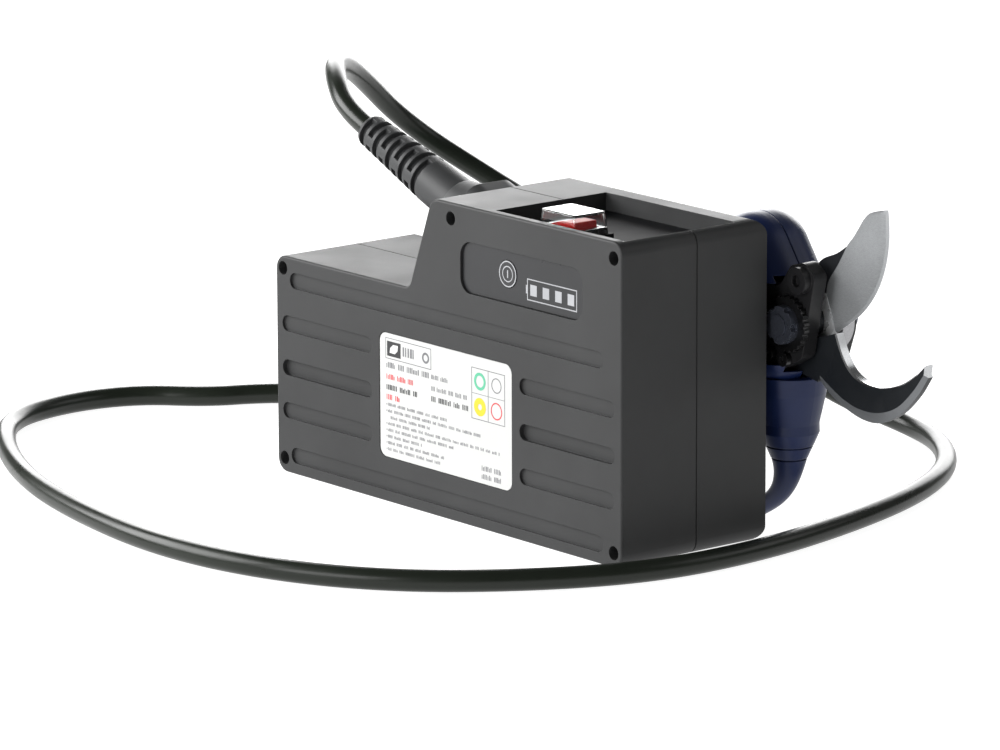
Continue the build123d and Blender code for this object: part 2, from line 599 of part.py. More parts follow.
def moving_blade():
    cutting_edge = Spline((149.9, 132.7), (150.6, 127.5), (150.7, 120.5), (149.3, 112.0), (146.2, 103.8),
                          (141.8, 96.8), (136.2, 90.8), (129.9, 86.0), (122.8, 81.0), (112.3, 71.3))
    spine = Spline((105.4, 97.1), (113.5, 107.6), (122.8, 112.0), (128.9, 116.1), (134.6, 123.0), (138.9, 128.7))
    tip = Spline((138.9, 128.7), (141.6, 130.5), (145.4, 131.8), (149.9, 132.7))
    rest = [Line((112.3, 71.3), (105.4, 97.1)), tip]
    blade = slab(Face(Wire([cutting_edge, rest[0], spine, rest[1]])), *BLADE_Y)
    blade += rod(*PIVOT, 13.4, *BLADE_Y)
    blade -= rod(*PIVOT, 4.0 + RUNNING, 50, 70)
    for x, z in BLADE_SCREWS:
        blade -= rod(x, z, 1.4, 50, 70)
    return blade


def pivot_hardware():
    x, z = PIVOT
    bolt = rod(x, z, 4.0, 38.0, SIDE_PLATE_Y[1]) + rod(x, z, 7.0, SIDE_PLATE_Y[1], SIDE_PLATE_Y[1] + 3.4)
    disc = rod(x, z, 11.0, CHEEK_Y[0] - 2.6, CHEEK_Y[0] - 0.1)
    for i in range(24):
        angle = radians(15 * i)
        disc -= rod(x + 11.2 * cos(angle), z + 11.2 * sin(angle), 0.9, CHEEK_Y[0] - 4, CHEEK_Y[0] + 1)
    disc -= rod(x, z, 4.0, 30, 60)
    nut = rod(x, z, 7.4, 38.6, CHEEK_Y[0] - 2.6) - rod(x, z, 4.0, 30, 60)
    for i in range(6):
        angle = radians(60 * i)
        nut -= rod(x + 8.0 * cos(angle), z + 8.0 * sin(angle), 1.6, 38, 41)
    washer = rod(x, z, 8.0, 65.5, 66.1) - rod(x, z, 4.0, 60, 70)
    screws = [rod(bx, bz, 1.4, BLADE_Y[0] + 0.1, 64) for bx, bz in BLADE_SCREWS]
    return {"pivot_bolt": bolt, "lock_disc": disc, "lock_nut": nut, "thrust_washer": washer,
            "blade_screws": Compound(children=screws)}


# ---------------------------------------------------------------- gears
def tooth_points(teeth, module, phase, outward=True):
    """Straight-flanked teeth round a circle, with backlash."""
    pitch = 360.0 / teeth
    middle = module * teeth / 2
    sign = 1 if outward else -1
    root = middle - sign * DEDENDUM * module
    tip = middle + sign * ADDENDUM * module
    points = []
    for i in range(teeth):
        centre = phase + pitch * i
        for radius, share in ((root, -ROOT_HALF), (tip, -TIP_HALF), (tip, TIP_HALF), (root, ROOT_HALF)):
            angle = radians(centre + share * pitch)
            points.append((radius * cos(angle), radius * sin(angle)))
    return points


def gear_face(teeth, module, phase, outward=True, scale=1.0):
    points = [(x * scale, y * scale) for x, y in tooth_points(teeth, module, phase, outward)]
    return make_face(Polyline(*points, close=True))


def across(x):
    """Plane square to the grip's axis, in the tool's frame."""
    return Plane((x, 0, 0), x_dir=(0, 1, 0), z_dir=(1, 0, 0))


def spur(teeth, phase, x0, x1, outward=True):
    return TOOL * extrude(across(x0) * gear_face(teeth, GEAR_MODULE, phase, outward), amount=x1 - x0)


def bevel_pinion():
    big = across(-SECTOR_R) * gear_face(PINION_TEETH, BEVEL_MODULE, 0)
    small = across(-SECTOR_R * FACE_SHARE) * gear_face(PINION_TEETH, BEVEL_MODULE, 0, scale=FACE_SHARE)
    pinion = TOOL * loft([big, small], ruled=True)
    pinion += shaft(3.5, -50, -SECTOR_R) + shaft(11.5, -52, -49.2)
    for angle in PLANET_ANGLES:
        y = PLANET_ORBIT * cos(radians(angle))
        z = PLANET_ORBIT * sin(radians(angle))
        pinion -= shaft(1.2, -53, -48, y, z)
    return pinion


def sector_tooth(angle):
    """One bevel tooth: both ends are the same shape, scaled towards the pivot's centre."""
    pitch = pi * BEVEL_MODULE
    sections = []
    for share in (1.0, FACE_SHARE):
        low = (PINION_R - ADDENDUM * BEVEL_MODULE) * share
        high = (PINION_R + DEDENDUM * BEVEL_MODULE + 0.3) * share
        tip = TIP_HALF * pitch * share
        root = (ROOT_HALF + 0.03) * pitch * share
        face = make_face(Polyline((low, -tip), (low, tip), (high, root), (high, -root), close=True))
        sections.append(Plane((-SECTOR_R * share, 0, 0), x_dir=(0, 1, 0), z_dir=(1, 0, 0)) * face)
    return Rot(0, 180 - angle, 0) * loft(sections, ruled=True)


def bevel_sector():
    cone = (PINION_R + DEDENDUM * BEVEL_MODULE) / SECTOR_R
    hub_low = BLADE_Y[1] - TOOL_Y
    back = 65.4 - TOOL_Y
    rim = SECTOR_R + 0.9
    profile = [(4.0 + RUNNING, hub_low), (13.4, hub_low), (13.4, 13.4 * cone), (rim, rim * cone),
               (rim, back), (4.0 + RUNNING, back)]
    blank = revolve(make_face(Polyline(*profile, close=True)), axis=Axis.Y)
    wedge = [(0, 0)]
    for angle in (168, 188, 208, 228, 251):
        wedge.append((40 * cos(radians(angle)), 40 * sin(radians(angle))))
    keep = slab(make_face(Polyline(*wedge, close=True)), -1, 20)
    keep += rod(0, 0, 13.4, -1, 20)
    sector = blank & keep
    for i in range(-2, 10):
        sector += sector_tooth(180 + (i + 0.5) * 360.0 / SECTOR_TEETH)
    sector = TOOL * sector
    for x, z in BLADE_SCREWS:
        sector -= rod(x, z, 1.4, 50, 64)
    return sector


def gearbox():
    parts = {"bevel_sector": bevel_sector(), "bevel_pinion": bevel_pinion()}
    parts["pinion_bearing"] = shaft(7.5, -44, -38) - shaft(3.5 + RUNNING, -45, -37)
    pins = []
    for number, angle in enumerate(PLANET_ANGLES, start=1):
        y = PLANET_ORBIT * cos(radians(angle))
        z = PLANET_ORBIT * sin(radians(angle))
        pins.append(shaft(1.2, -60, -49.2, y, z))
        phase = angle + 180 + 180.0 / PLANET_TEETH
        planet = extrude(across(-59.3) * gear_face(PLANET_TEETH, GEAR_MODULE, phase), amount=6.0)
        parts[f"planet_gear_{number}"] = TOOL * Pos(0, y, z) * planet - shaft(1.2 + RUNNING, -62, -50, y, z)
    parts["planet_pins"] = Compound(children=pins)
    ring_phase = 90 + 180.0 / RING_TEETH
    bore = TOOL * extrude(across(-61) * gear_face(RING_TEETH, GEAR_MODULE, ring_phase, outward=False), amount=8.4)
    ring = shaft(14.6, -62, -46) - shaft(13.3, -52.7, -45) - bore - shaft(13.3, -63, -60.9)
    parts["ring_gear"] = ring
    return parts


def motor():
    can = shaft(14.2, -114, -62) - shaft(12.6, -115, -64.5) - shaft(1.6 + RUNNING, -66, -61)
    cap = shaft(14.2, -117, -114) - shaft(1.6 + RUNNING, -118, -113)
    stator = shaft(12.5, -110, -70) - shaft(9.2, -111, -69)
    rotor = shaft(8.6, -109, -71) - shaft(1.6, -110, -70)
    sun = spur(SUN_TEETH, 90, -60, -53) + shaft(1.6, -119, -60)
    board = grip_block(-200, -126, 11, 0.8)
    for i in range(3):
        board += TOOL * Pos(-140 - 12 * i, -4, 2.6) * Box(8, 10, 3.6)
    board += TOOL * Pos(-185, 0, 4.6) * Rot(90, 0, 0) * Cylinder(4.0, 14)
    return {"motor_can": can, "motor_end_cap": cap, "motor_stator": stator, "motor_rotor": rotor,
            "sun_shaft": sun, "control_board": board}


def trigger_parts():
    x, z = TRIGGER_PIVOT
    lever = slab(rounded(TRIGGER_OUTLINE), TOOL_Y - 4.5, TOOL_Y + 4.5)
    lever += rod(x, z, 3.3, TOOL_Y - 4.5, TOOL_Y + 4.5)
    lever -= rod(x, z, PIN_R + RUNNING, TOOL_Y - 6, TOOL_Y + 6)
    pin = rod(x, z, PIN_R, TOOL_Y - 11, TOOL_Y + 12)
    coil = Pos(x, TOOL_Y + 5.4, z) * Rot(-90, 0, 0) * Helix(pitch=1.0, height=3.2, radius=2.3)
    spring = sweep(Plane(coil @ 0, z_dir=coil % 0) * Circle(0.4), path=coil, is_frenet=True)
    sensor = block(40, 51.5, TOOL_Y - 4, TOOL_Y + 4, 47.2, 48.4) + block(44, 48, TOOL_Y - 2, TOOL_Y + 2, 48.4, 49.4)
    return {"trigger": lever, "trigger_pin": pin, "trigger_spring": spring, "trigger_sensor": sensor}


# ---------------------------------------------------------------- write every node
def build():
    nodes = {}
    nodes.update(pack_shells())
    nodes["case_screws"] = case_screws()
    nodes.update(front_trim())
    nodes.update(battery())
    nodes.update(switch_parts())
    nodes.update(gland_parts())
    nodes["power_cable"] = cable()
    nodes["tool_strain_relief"] = tool_relief()
    outer = housing_outer()
    nodes.update(housing(outer))
    nodes["housing_screws"] = housing_screws()
    nodes["hand_guard"] = hand_guard(outer)
    nodes["gear_case"] = gear_case()
    nodes["side_plate"] = side_plate()
    nodes["hook_blade"] = hook_blade()
    nodes["hook_screws"] = hook_screws()
    nodes["moving_blade"] = moving_blade()
    nodes.update(pivot_hardware())
    nodes.update(gearbox())
    nodes.update(motor())
    nodes.update(trigger_parts())
    return nodes


os.makedirs("parts", exist_ok=True)
for name, shape in build().items():
    export_step(shape, f"parts/{name}.step")
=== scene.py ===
import json
import random
from math import cos, hypot, pi, radians, sin

import bmesh
import bpy
from mathutils import Matrix, Vector


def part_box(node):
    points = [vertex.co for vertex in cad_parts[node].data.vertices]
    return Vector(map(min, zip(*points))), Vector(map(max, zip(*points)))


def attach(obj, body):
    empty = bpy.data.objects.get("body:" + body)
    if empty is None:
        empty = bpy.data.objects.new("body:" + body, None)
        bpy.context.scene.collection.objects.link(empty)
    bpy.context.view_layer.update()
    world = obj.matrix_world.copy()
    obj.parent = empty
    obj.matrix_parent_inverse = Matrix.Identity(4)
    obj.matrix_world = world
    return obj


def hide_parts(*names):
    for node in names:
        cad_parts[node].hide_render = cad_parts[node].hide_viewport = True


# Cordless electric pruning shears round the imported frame: the pack, its cable and the pruner.
# Lengths are written in millimetres and turned into metres by MM. +X runs along the pack towards the
# blades, +Y from the label face to the back, +Z up.

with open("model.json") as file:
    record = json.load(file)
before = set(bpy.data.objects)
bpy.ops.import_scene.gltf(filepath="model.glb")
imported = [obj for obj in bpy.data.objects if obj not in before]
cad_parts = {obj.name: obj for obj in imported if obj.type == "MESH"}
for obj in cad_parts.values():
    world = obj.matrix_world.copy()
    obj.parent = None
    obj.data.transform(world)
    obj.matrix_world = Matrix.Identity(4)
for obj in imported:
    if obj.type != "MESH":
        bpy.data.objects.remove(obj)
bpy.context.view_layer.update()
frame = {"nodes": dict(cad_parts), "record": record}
NODES = frame["nodes"]
MM = 0.001
ROOT = "shears"


def corner(node):
    """Lowest and highest corner of a CAD node, in millimetres."""
    low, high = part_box(node)
    return [c / MM for c in low], [c / MM for c in high]


# ---------------------------------------------------------------- camera
EYE = Vector((1978.4, -1627.6, 631.8)) * MM
HEADING = radians(50.695)         # from +Y towards -X
DIP = radians(12.757)
ROLL = radians(-0.18)
LENS = 243.0


def look():
    forward = Vector((-sin(HEADING) * cos(DIP), cos(HEADING) * cos(DIP), -sin(DIP)))
    right = Vector((cos(HEADING), sin(HEADING), 0.0))
    up = right.cross(forward)
    level = Matrix((right, up, -forward)).transposed().to_4x4()
    data = bpy.data.cameras.new("camera")
    data.lens = LENS
    data.sensor_width = 36.0
    data.clip_end = 50.0
    camera = bpy.data.objects.new("camera", data)
    camera.matrix_world = Matrix.Translation(EYE) @ level @ Matrix.Rotation(ROLL, 4, "Z")
    bpy.context.scene.collection.objects.link(camera)
    bpy.context.scene.camera = camera


look()

# ---------------------------------------------------------------- cable
CABLE_R = 4.2
FLOOR = 4.3
TILT = radians(16.5)              # the grip's axis rises by this angle towards the blades
PIVOT = (110.0, 56.5, 84.5)
RELIEF_TIP = -268.0
CABLE_START = 82.0
STEP_FOOT, STEP_TOP = (-21.5, 88.0), (-7.5, 125.5)
STEP_SLOPE = hypot(STEP_TOP[0] - STEP_FOOT[0], STEP_TOP[1] - STEP_FOOT[1])
GLAND_AT = Vector(((STEP_FOOT[0] + STEP_TOP[0]) / 2, 1.0, (STEP_FOOT[1] + STEP_TOP[1]) / 2))
GLAND_DIR = Vector((STEP_FOOT[1] - STEP_TOP[1], 0.0, STEP_TOP[0] - STEP_FOOT[0])) / STEP_SLOPE


def tool_point(along, y=0.0, z=0.0):
    """Point in the grip's own frame: along its axis from the blade pivot, aside and above."""
    return Vector((PIVOT[0] + along * cos(TILT) - z * sin(TILT), PIVOT[1] + y,
                   PIVOT[2] + along * sin(TILT) + z * cos(TILT)))


def cable_route():
    air = [(-127, 11, 150.5), (-151, 30, 152), (-174, 58, 141.5), (-185, 93, 113.5), (-157, 121, 88.5),
           (-112, 148, 60.5), (-66, 172, 35.5), (-24, 189, 12), (10, 198, FLOOR)]
    floor = [(44, 186), (77, 159), (101, 120), (118, 70), (129, 15), (128, -36), (110, -79), (78, -121),
             (33, -147), (-22, -156.5), (-83, -149), (-141, -133.5), (-195, -107), (-232, -78), (-242, -41),
             (-235, -10), (-213, 9), (-204, 31), (-186, 51)]
    start = [GLAND_AT + CABLE_START * GLAND_DIR, GLAND_AT + (CABLE_START + 17) * GLAND_DIR]
    landing = (FLOOR - PIVOT[2]) / sin(TILT)
    return start + air + [(x, y, FLOOR) for x, y in floor] + [tool_point(landing), tool_point(RELIEF_TIP)]


def cable():
    data = bpy.data.curves.new("cable", "CURVE")
    data.dimensions = "3D"
    data.resolution_u = 16
    data.bevel_depth = 1.0
    data.bevel_resolution = 8
    data.use_fill_caps = True
    points = cable_route()
    spline = data.splines.new("NURBS")
    spline.points.add(len(points) - 1)
    for place, point in zip(spline.points, points):
        place.co = (*(Vector(point) * MM), 1.0)
        place.radius = CABLE_R * MM          # scales the bevel, so bevel_depth is one metre
    spline.order_u = 3
    spline.use_endpoint_u = True
    piece = bpy.data.objects.new("cable", data)
    bpy.context.scene.collection.objects.link(piece)
    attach(piece, ROOT)
    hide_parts("power_cable")
    return piece


CABLE = cable()


# ---------------------------------------------------------------- materials
def blank(name):
    material = bpy.data.materials.new(name)
    material.use_nodes = True
    tree = material.node_tree
    return material, tree.nodes, tree.links, tree.nodes["Principled BSDF"]


def place_node(nodes, links, stretch=(1, 1, 1), turn=(0, 0, 0)):
    """Object coordinates, stretched and turned, so the detail has its real size."""
    source = nodes.new("ShaderNodeTexCoord")
    mapping = nodes.new("ShaderNodeMapping")
    mapping.inputs["Scale"].default_value = stretch
    mapping.inputs["Rotation"].default_value = turn
    links.new(source.outputs["Object"], mapping.inputs["Vector"])
    return mapping.outputs["Vector"]


def noise(nodes, links, where, scale, detail=3.0, roughness=0.55):
    node = nodes.new("ShaderNodeTexNoise")
    node.inputs["Scale"].default_value = scale
    node.inputs["Detail"].default_value = detail
    node.inputs["Roughness"].default_value = roughness
    links.new(where, node.inputs["Vector"])
    return node.outputs["Fac"]


def spread(nodes, links, value, low, high, source=(0.3, 0.7)):
    """A value remapped to a range."""
    node = nodes.new("ShaderNodeMapRange")
    node.inputs["From Min"].default_value, node.inputs["From Max"].default_value = source
    node.inputs["To Min"].default_value, node.inputs["To Max"].default_value = low, high
    links.new(value, node.inputs["Value"])
    return node.outputs["Result"]


def two_tone(nodes, links, value, dark, light, source=(0.3, 0.7)):
    node = nodes.new("ShaderNodeMix")
    node.data_type = "RGBA"
    node.inputs["A"].default_value = (*dark, 1)
    node.inputs["B"].default_value = (*light, 1)
    links.new(spread(nodes, links, value, 0, 1, source), node.inputs["Factor"])
    return node.outputs["Result"]


def bump(nodes, links, height, distance, strength=1.0, edge=0.0):
    """Surface relief over softly broken edges; distance and edge radius in millimetres."""
    node = nodes.new("ShaderNodeBump")
    node.inputs["Distance"].default_value = distance * MM
    node.inputs["Strength"].default_value = strength
    links.new(height, node.inputs["Height"])
    if edge:
        soft = nodes.new("ShaderNodeBevel")
        soft.samples = 4
        soft.inputs["Radius"].default_value = edge * MM
        links.new(soft.outputs["Normal"], node.inputs["Normal"])
    return node.outputs["Normal"]


def plastic(name, colour, rough, grain=0.5, relief=0.03, level=0.3, coat=0.0, edge=0.25, vary=0.15):
    """Moulded plastic: a spark-eroded grain in millimetres, faint tone changes and handling marks."""
    material, nodes, links, shader = blank(name)
    where = place_node(nodes, links)
    fine = noise(nodes, links, where, 1000 / grain, 2.0)
    cloud = noise(nodes, links, where, 22.0, 4.0, 0.6)
    dark = [c * (1 - vary) for c in colour]
    light = [c * (1 + vary) for c in colour]
    links.new(two_tone(nodes, links, cloud, dark, light), shader.inputs["Base Color"])
    links.new(spread(nodes, links, cloud, rough - 0.05, rough + 0.06), shader.inputs["Roughness"])
    shader.inputs["Specular IOR Level"].default_value = level
    shader.inputs["Coat Weight"].default_value = coat
    shader.inputs["Coat Roughness"].default_value = 0.12
    links.new(bump(nodes, links, fine, relief, 0.6, edge), shader.inputs["Normal"])
    return material


def metal(name, colour, rough, stretch=(60, 60, 60), turn=(0, 0, 0), relief=0.01, edge=0.15, vary=0.12,
          amount=1.0):
    """Worked metal: fine machining lines along one direction, with patches of duller surface."""
    material, nodes, links, shader = blank(name)
    lines = noise(nodes, links, place_node(nodes, links, stretch, turn), 20.0, 5.0, 0.65)
    cloud = noise(nodes, links, place_node(nodes, links), 70.0, 4.0, 0.6)
    dark = [c * (1 - vary) for c in colour]
    light = [min(1.0, c * (1 + vary)) for c in colour]
    links.new(two_tone(nodes, links, lines, dark, light), shader.inputs["Base Color"])
    links.new(spread(nodes, links, cloud, rough - 0.07, rough + 0.08), shader.inputs["Roughness"])
    shader.inputs["Metallic"].default_value = amount
    links.new(bump(nodes, links, lines, relief, 0.5, edge), shader.inputs["Normal"])
    return material


def clear(name):
    """Clear polycarbonate with faint handling marks."""
    material, nodes, links, shader = blank(name)
    haze = noise(nodes, links, place_node(nodes, links), 160.0, 4.0)
    links.new(spread(nodes, links, haze, 0.02, 0.09), shader.inputs["Roughness"])
    shader.inputs["Base Color"].default_value = (0.96, 0.97, 0.97, 1)
    shader.inputs["Transmission Weight"].default_value = 1.0
    shader.inputs["IOR"].default_value = 1.46
    return material


MATERIALS = {
    "pack_shell": plastic("pack_black", (0.031, 0.0315, 0.032), 0.5, grain=0.45, relief=0.04, level=0.25),
    "label": plastic("label_white", (0.53, 0.535, 0.525), 0.35, grain=2.0, relief=0.006, vary=0.02, edge=0.0),
    "display_film": plastic("film_grey", (0.019, 0.0195, 0.021), 0.3, grain=1.5, relief=0.006, edge=0.0),
    "button_black": plastic("button_black", (0.024, 0.024, 0.026), 0.32, grain=0.8, relief=0.01),
    "circuit_board": plastic("board_green", (0.02, 0.14, 0.05), 0.35, grain=1.2, relief=0.02, vary=0.3),
    "cell_wrap": plastic("cell_blue", (0.03, 0.16, 0.36), 0.3, grain=3.0, relief=0.01),
    "holder": plastic("holder_black", (0.04, 0.04, 0.042), 0.5),
    "nickel": metal("nickel", (0.60, 0.57, 0.51), 0.28),
    "panel_black": plastic("panel_black", (0.006, 0.006, 0.007), 0.6, grain=0.8, relief=0.03, level=0.08),
    "switch_black": plastic("switch_black", (0.018, 0.018, 0.019), 0.25, grain=1.0, relief=0.01),
    "switch_red": plastic("switch_red", (0.60, 0.012, 0.010), 0.38, grain=1.5, relief=0.01, level=0.2),
    "clear_cover": clear("clear_cover"),
    "rubber_black": plastic("rubber_black", (0.040, 0.041, 0.042), 0.5, grain=0.6, relief=0.03, edge=0.45),
    "cable_jacket": plastic("jacket", (0.010, 0.013, 0.009), 0.3, grain=4.0, relief=0.05, level=0.3,
                            edge=0.0),
    "navy_shell": plastic("navy", (0.006, 0.014, 0.060), 0.38, grain=0.5, relief=0.03, level=0.3, edge=0.5),
    "screw_steel": metal("black_oxide", (0.06, 0.06, 0.062), 0.35),
    "bright_steel": metal("blued_steel", (0.075, 0.082, 0.105), 0.27, amount=0.7),
    "hook_steel": metal("hook_steel", (0.009, 0.011, 0.014), 0.4, (400, 400, 40), amount=0.2),
    "blade_steel": metal("blade_steel", (0.52, 0.53, 0.54), 0.30, (30, 400, 400)),
    "case_black": plastic("case_black", (0.012, 0.012, 0.013), 0.36, grain=0.9, relief=0.03, edge=0.4),
    "gear_steel": metal("gear_steel", (0.34, 0.34, 0.35), 0.3),
    "bearing_bronze": metal("bronze", (0.50, 0.34, 0.14), 0.35),
    "motor_steel": metal("motor_steel", (0.40, 0.41, 0.42), 0.32, (400, 60, 60)),
    "winding": metal("copper", (0.55, 0.22, 0.09), 0.3),
}
INKS = {
    "black": plastic("ink_black", (0.030, 0.030, 0.032), 0.4, grain=2.0, relief=0.004, edge=0.0),
    "grey": plastic("ink_grey", (0.16, 0.16, 0.17), 0.4, grain=2.0, relief=0.004, edge=0.0),
    "red": plastic("ink_red", (0.55, 0.035, 0.045), 0.4, grain=2.0, relief=0.004, edge=0.0),
    "green": plastic("ink_green", (0.10, 0.42, 0.26), 0.4, grain=2.0, relief=0.004, edge=0.0),
    "yellow": plastic("ink_yellow", (0.62, 0.50, 0.03), 0.4, grain=2.0, relief=0.004, edge=0.0),
    "white": plastic("ink_white", (0.62, 0.63, 0.62), 0.4, grain=2.0, relief=0.004, edge=0.0),
    "silver": plastic("ink_silver", (0.34, 0.345, 0.36), 0.35, grain=2.0, relief=0.004, edge=0.0),
}
GROUND = metal("ground_steel", (0.33, 0.34, 0.35), 0.42, (40, 700, 700), (0, 0.6, 0), relief=0.014, edge=0.0,
               vary=0.28, amount=0.45)
# Bright polished metal: the thin land along the cutting edge, and also the blade's flat heel and hub, where
# its lighter tone is a painted highlight on the ground steel.
LAND_AND_HIGHLIGHT = metal("polished_land_and_painted_highlight", (0.72, 0.73, 0.74), 0.3, (60, 500, 500), relief=0.006, edge=0.0, amount=0.5)
POLISHED = metal("polished_steel", (0.55, 0.56, 0.57), 0.26, (300, 40, 300), relief=0.004, edge=0.0)
COATED = metal("black_coating", (0.016, 0.017, 0.020), 0.38, (300, 300, 300), relief=0.01, edge=0.0,
               amount=0.2)
BEVELLED = metal("worn_bevel", (0.155, 0.162, 0.17), 0.4, (40, 500, 500), relief=0.01, edge=0.0, amount=0.4)


def dress_nodes():
    """Every CAD node gets the material of its slot in the record."""
    for sub in frame["record"]["subparts"]:
        piece = NODES[sub["node"]]
        finish = MATERIALS[sub["material_slot"]]
        if not piece.material_slots:
            piece.data.materials.append(finish)
        for slot in piece.material_slots:
            slot.material = finish


dress_nodes()
CABLE.data.materials.append(MATERIALS["cable_jacket"])

# ---------------------------------------------------------------- mesh helpers
def smooth(points, steps=6):
    """A line of points rounded off between them; each point is kept."""
    ends = [2 * Vector(points[0]) - Vector(points[1])] + [Vector(p) for p in points]
    ends.append(2 * ends[-1] - ends[-2])
    line = []
    for a, b, c, d in zip(ends, ends[1:], ends[2:], ends[3:]):
        for i in range(steps):
            t = i / steps
            line.append(0.5 * (2 * b + (c - a) * t + (2 * a - 5 * b + 4 * c - d) * t * t
                               + (3 * b - a - 3 * c + d) * t * t * t))
    return line + [ends[-2]]


def evenly(line, count):
    """The same line as a number of points at even distances."""
    walked = [0.0]
    for a, b in zip(line, line[1:]):
        walked.append(walked[-1] + (b - a).length)
    result, i = [], 0
    for n in range(count):
        want = walked[-1] * n / (count - 1)
        while i < len(line) - 2 and walked[i + 1] < want:
            i += 1
        share = (want - walked[i]) / max(walked[i + 1] - walked[i], 1e-9)
        result.append(line[i].lerp(line[i + 1], min(max(share, 0.0), 1.0)))
    return result


def finish_piece(name, mesh, body, materials, replaced=(), angle=None):
    """Recalculates normals, makes the object in metres and hangs it on its body."""
    bmesh.ops.remove_doubles(mesh, verts=mesh.verts, dist=1e-4)
    bmesh.ops.dissolve_degenerate(mesh, edges=mesh.edges, dist=1e-5)
    bmesh.ops.recalc_face_normals(mesh, faces=mesh.faces)
    if angle is not None:
        for edge in mesh.edges:
            edge.smooth = edge.calc_face_angle(0.0) < radians(angle)
        for face in mesh.faces:
            face.smooth = True
    bmesh.ops.scale(mesh, vec=(MM, MM, MM), verts=mesh.verts)
    data = bpy.data.meshes.new(name)
    mesh.to_mesh(data)
    mesh.free()
    for material in materials:
        data.materials.append(material)
    piece = bpy.data.objects.new(name, data)
    bpy.context.scene.collection.objects.link(piece)
    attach(piece, body)
    if replaced:
        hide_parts(*replaced)
    return piece


def prism(mesh, outline, y0, y1, material=0):
    """Straight-sided solid over an outline of x and z."""
    near = [mesh.verts.new((p[0], y0, p[1])) for p in outline]
    far = [mesh.verts.new((p[0], y1, p[1])) for p in outline]
    faces = [mesh.faces.new(near), mesh.faces.new(far[::-1])]
    for i in range(len(near)):
        j = (i + 1) % len(near)
        faces.append(mesh.faces.new((near[i], far[i], far[j], near[j])))
    for face in faces:
        face.material_index = material


def skin(mesh, rows, materials, heel_rows=0, heel_material=0):
    """Closed solid through rows of equal length; after the heel, one material for each strip."""
    grid = [[mesh.verts.new(p) for p in row] for row in rows]
    width = len(grid[0])
    for n, (a, b) in enumerate(zip(grid, grid[1:])):
        for i in range(width):
            j = (i + 1) % width
            face = mesh.faces.new((a[i], a[j], b[j], b[i]))
            face.material_index = heel_material if n < heel_rows else materials[i]
    for end in (grid[0], grid[-1]):
        mesh.faces.new(end).material_index = materials[-1]


def circle(x, z, radius, count=32, start=0.0, sweep_angle=360.0):
    whole = sweep_angle >= 360.0
    steps = count if whole else count + 1
    return [(x + radius * cos(radians(start + sweep_angle * i / count)),
             z + radius * sin(radians(start + sweep_angle * i / count))) for i in range(steps)]


# ---------------------------------------------------------------- blades
HOOK_Y = (52.0, 56.2)
BLADE_Y = (56.4, 59.7)
HUB = (110.0, 84.5)


def moving_blade():
    """Hub and flat heel in the bright land metal as a painted highlight on the ground steel; coated spine,
    and a hollow-ground facet with a thin polished land along the edge.
    """
    mesh = bmesh.new()
    near, far = BLADE_Y
    start = (117.1, 95.6)
    line = smooth([start, (118.5, 100.9), (123.6, 107.8), (128.4, 115.6)], 5)
    spine = smooth([(105.4, 97.1), (113.5, 107.6), (122.8, 112.0), (128.4, 115.6)], 5)
    hub = circle(*HUB, 13.4, 36, -80.0, -170.0)
    # The hub takes the bright land metal: a painted highlight on the ground steel.
    prism(mesh, hub + [start], near + 0.06, far - 0.06, 2)
    prism(mesh, [tuple(p) for p in spine] + [tuple(p) for p in line[-2::-1]], near - 0.03, far + 0.03, 1)
    left = smooth([start, (118.5, 100.9), (123.6, 107.8), (128.4, 115.6), (131.8, 119.4), (134.7, 123.2),
                   (137.2, 126.7), (139.4, 129.1)])
    right = smooth([(121.9, 80.9), (125.6, 83.2), (129.9, 86.0), (136.2, 90.8), (141.8, 96.8), (146.2, 103.8),
                    (149.3, 112.0), (150.7, 120.5), (150.6, 127.5), (150.0, 132.6)])
    count = 44
    rows = []
    for share in (0.04, 0.35, 0.7, 0.995):
        a = Vector((112.3, 71.3)).lerp(Vector(start), share)
        b = Vector((112.8, 71.4)).lerp(right[0], share)
        rows.append(blade_row(a, b, near, far, 0.0))
    for a, b in zip(evenly(left, count), evenly(right, count)):
        rows.append(blade_row(a, b, near, far, 1.0))
    for a in ((140.9, 130.2), (143.4, 131.2), (146.9, 132.1)):
        rows.append(blade_row(Vector(a), right[-1] + Vector((0.0, 0.04)), near, far, 1.0))
    # The heel rows take the bright land metal as a painted highlight; the strip at the cutting edge is the
    # real polished land.
    skin(mesh, rows, [0, 0, 0, 0, 2, 0, 0, 1], 4, 2)
    return finish_piece("cutting_blade", mesh, "blade", [GROUND, COATED, LAND_AND_HIGHLIGHT],
                        ["moving_blade"], 24)


def blade_row(a, b, near, far, hollow):
    """Section of the blade from its spine a to its cutting edge b."""
    width = (b - a).length
    land = 1.1 / max(width, 2.5)
    bevel = min(0.45, 6.0 / max(width, 2.5))
    section = []
    for share, depth in ((0.0, 0.0), (0.3, 0.38), (0.62, 0.6), (1 - land, 0.55), (1.0, 1.1)):
        p = a.lerp(b, share)
        section.append((p[0], near + depth * (hollow if share < 1 else 1.0), p[1]))
    p = a.lerp(b, 1.0)
    section.append((p[0], near + 1.35, p[1]))
    p = a.lerp(b, 1 - bevel)
    section.append((p[0], far, p[1]))
    section.append((a[0], far, a[1]))
    return section


